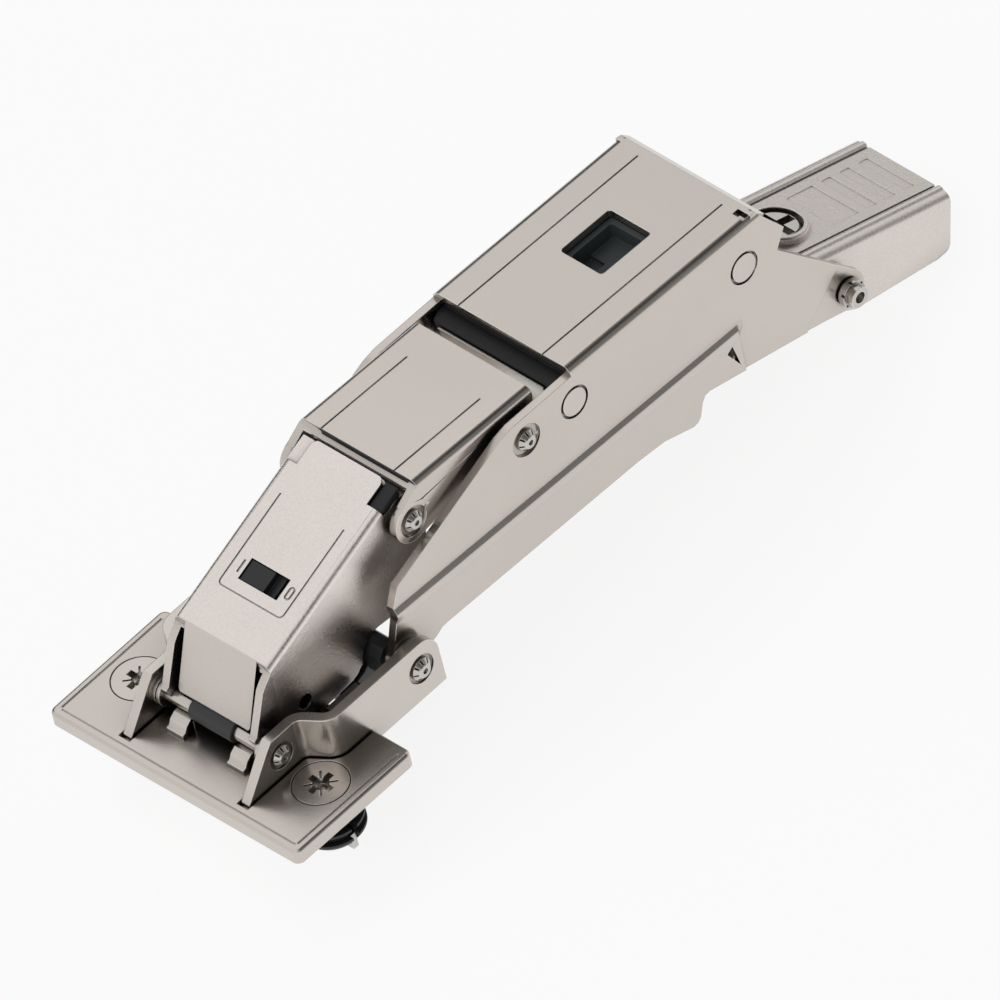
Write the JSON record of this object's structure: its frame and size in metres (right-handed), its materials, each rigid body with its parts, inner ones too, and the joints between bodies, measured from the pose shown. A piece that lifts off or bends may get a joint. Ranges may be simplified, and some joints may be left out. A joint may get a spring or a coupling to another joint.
{
  "type": "concealed folding cabinet hinge",
  "caption": "Concealed folding cabinet hinge with a dowelled door plate, linked levers, a clip-on arm, a soft-close switch and a release lever at the tail",
  "frame": {"origin": "The centre of the door plate's underside, midway between the two dowels.", "axes": "X runs across the hinge, parallel to all its pins. Y runs along the door from the plate's front edge towards the arm's tail. Z stands up off the door."},
  "size_m": [0.044, 0.1325, 0.0376],
  "materials": {
    "nickel_steel": "nickel plated sheet steel, satin",
    "grained_steel": "nickel plated sheet steel with a fine grain",
    "bright_zinc": "bright plated pins, rings and screws",
    "black_plastic": "moulded black plastic",
    "grey_plastic": "moulded dark grey plastic"
  },
  "bodies": {
    "door_plate": {"fixing_plate": "nickel_steel", "pivot_bracket": "nickel_steel", "dowel_left": "black_plastic", "dowel_right": "black_plastic", "front_pin": "bright_zinc", "front_washers": "bright_zinc", "pin_cradle": "nickel_steel", "rear_pin": "bright_zinc", "rear_sleeve": "black_plastic", "rear_washers": "bright_zinc", "plate_tongue": "nickel_steel"},
    "wedge_left": {"dowel_wedge_left": "bright_zinc"},
    "wedge_right": {"dowel_wedge_right": "bright_zinc"},
    "screw_left": {"dowel_screw_left": "nickel_steel"},
    "screw_right": {"dowel_screw_right": "nickel_steel"},
    "front_link": {"front_lever": "grained_steel", "front_sleeve": "black_plastic", "damper_body": "black_plastic"},
    "switch": {"switch_slider": "black_plastic"},
    "middle_link": {"middle_lever": "nickel_steel", "elbow_pin": "bright_zinc", "elbow_washers": "bright_zinc", "elbow_sleeve": "black_plastic"},
    "arm": {"hinge_arm": "nickel_steel", "arm_pin": "bright_zinc", "arm_washers": "bright_zinc", "front_rivet": "bright_zinc", "rear_rivet": "bright_zinc", "arm_housing": "black_plastic", "window_insert": "grey_plastic", "spring_plate": "nickel_steel", "clip_frame": "nickel_steel", "hook_pin": "bright_zinc", "tail_studs": "bright_zinc", "tail_spacers": "bright_zinc"},
    "tail": {"release_lever": "grained_steel"},
    "cam_screw": {"depth_cam_screw": "bright_zinc"}
  },
  "joints": [
    {"name": "arm_fold", "type": "hinge", "parent": "door_plate", "child": "arm", "pos_m": [0, 0.02003, 0.0048], "axis": [1, 0, 0], "range_deg": [0, 92.5]},
    {"name": "front_fold", "type": "hinge", "parent": "door_plate", "child": "front_link", "pos_m": [0, -0.00126, 0.00546], "axis": [1, 0, 0], "range_deg": [0, 87.3]},
    {"name": "elbow_fold", "type": "hinge", "parent": "front_link", "child": "middle_link", "pos_m": [0, 0.02818, 0.02174], "axis": [1, 0, 0], "range_deg": [-99.4, 0]},
    {"name": "switch_slide", "type": "slide", "parent": "front_link", "child": "switch", "axis": [1, 0, 0], "range_m": [0, 0.0025]},
    {"name": "release", "type": "hinge", "parent": "arm", "child": "tail", "pos_m": [0, 0.1003, 0.0009], "axis": [1, 0, 0], "range_deg": [0, 10], "stiffness_Nm_per_rad": 0.05, "springref_deg": -8.59},
    {"name": "depth_turn", "type": "hinge", "parent": "tail", "child": "cam_screw", "pos_m": [0, 0.10066, 0.00479], "axis": [0, 0.3264, 0.9452], "range_deg": [-180, 180]},
    {"name": "dowel_turn_left", "type": "hinge", "parent": "door_plate", "child": "screw_left", "pos_m": [-0.016, 0, 0.0018], "axis": [0, 0, 1], "range_deg": [0, 180]},
    {"name": "dowel_turn_right", "type": "hinge", "parent": "door_plate", "child": "screw_right", "pos_m": [0.016, 0, 0.0018], "axis": [0, 0, 1], "range_deg": [0, 180]},
    {"name": "wedge_rise_left", "type": "slide", "parent": "door_plate", "child": "wedge_left", "axis": [0, 0, 1], "range_m": [0, 0.0005]},
    {"name": "wedge_rise_right", "type": "slide", "parent": "door_plate", "child": "wedge_right", "axis": [0, 0, 1], "range_m": [0, 0.0005]}
  ],
  "couplings": [
    {"joint": "front_fold", "follows": "arm_fold", "ratio": 0.943},
    {"joint": "elbow_fold", "follows": "arm_fold", "ratio": -1.074},
    {"joint": "dowel_turn_left", "follows": "wedge_rise_left", "rad_per_m": 6283.1},
    {"joint": "dowel_turn_right", "follows": "wedge_rise_right", "rad_per_m": 6283.1}
  ]
}
